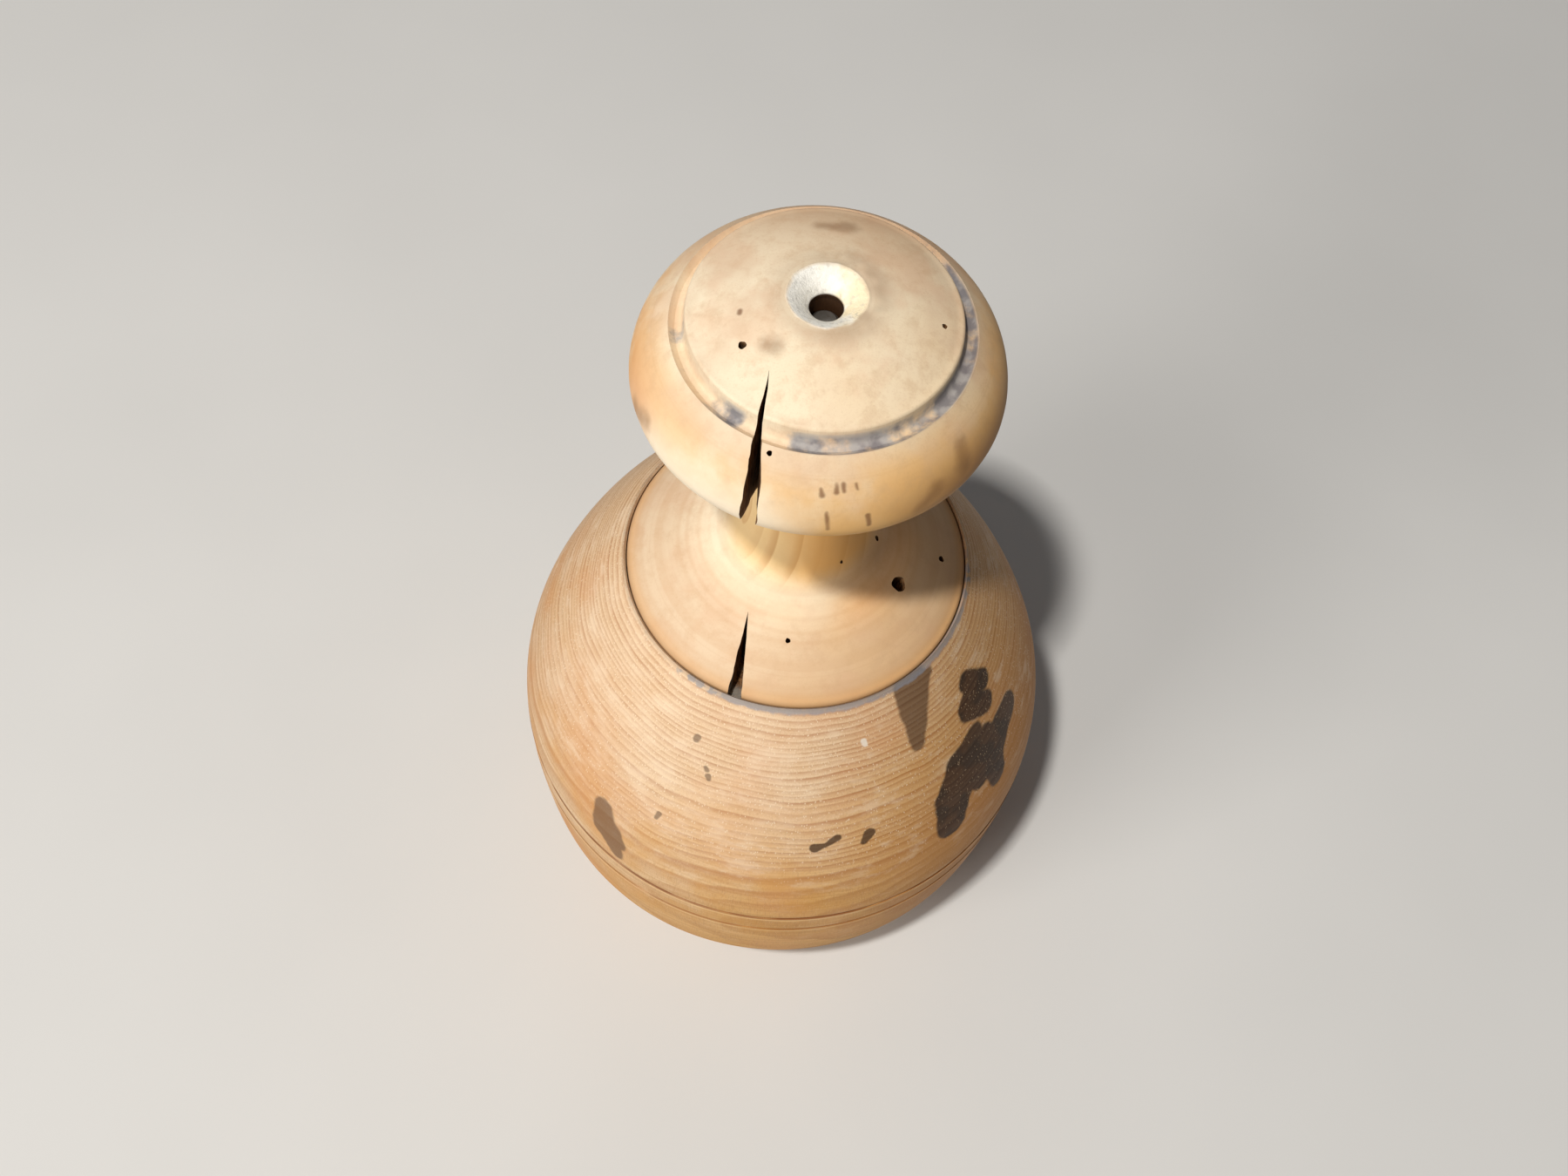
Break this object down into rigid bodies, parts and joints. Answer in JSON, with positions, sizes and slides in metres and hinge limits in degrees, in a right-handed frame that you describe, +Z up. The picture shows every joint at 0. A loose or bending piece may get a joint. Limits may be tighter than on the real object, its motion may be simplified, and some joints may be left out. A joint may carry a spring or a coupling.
{
  "type": "pepper mill",
  "caption": "Small hand-turned wooden pepper mill: round hollow body, waisted head with a mushroom knob, and steel grinding works on a square shaft.",
  "frame": {"origin": "centre of the foot, on the surface that the mill stands on", "axes": "+Z up the turning axis to the knob, -Y towards the front"},
  "size_m": [0.076, 0.076, 0.1255],
  "materials": {
    "body_wood": "worn oiled ring-porous wood",
    "head_wood": "worn fine-grained pale wood",
    "shaft_steel": "drawn bar, dulled",
    "bright_steel": "plain",
    "burr_iron": "case-hardened, dark",
    "spring_steel": "oiled spring wire",
    "bar_brass": "tarnished",
    "screw_steel": "blued, worn",
    "plate_steel": "pressed sheet"
  },
  "bodies": {
    "body": {"mill_body": "body_wood", "grinding_ring": "burr_iron", "retaining_bar": "bar_brass", "retaining_screws": "screw_steel"},
    "carrier": {"spring_washer": "bright_steel", "adjuster_spring": "spring_steel"},
    "spindle": {"drive_shaft": "shaft_steel", "grinding_cone": "burr_iron", "cone_pin": "bright_steel"},
    "head": {"turned_head": "head_wood", "turn_plate": "plate_steel", "turn_plate_screws": "screw_steel"}
  },
  "joints": [
    {"name": "mill_turn", "type": "hinge", "parent": "body", "child": "carrier", "pos_m": [0, 0, 0.0165], "axis": [0, 0, 1], "continuous": true},
    {"name": "spindle_lift", "type": "slide", "parent": "carrier", "child": "spindle", "axis": [0, 0, 1], "range_m": [0, 0.0015], "stiffness_N_per_m": 400, "springref_m": -0.003, "deforming": ["adjuster_spring"]},
    {"name": "head_lift", "type": "slide", "parent": "carrier", "child": "head", "axis": [0, 0, 1], "range_m": [0, 0.08]}
  ]
}
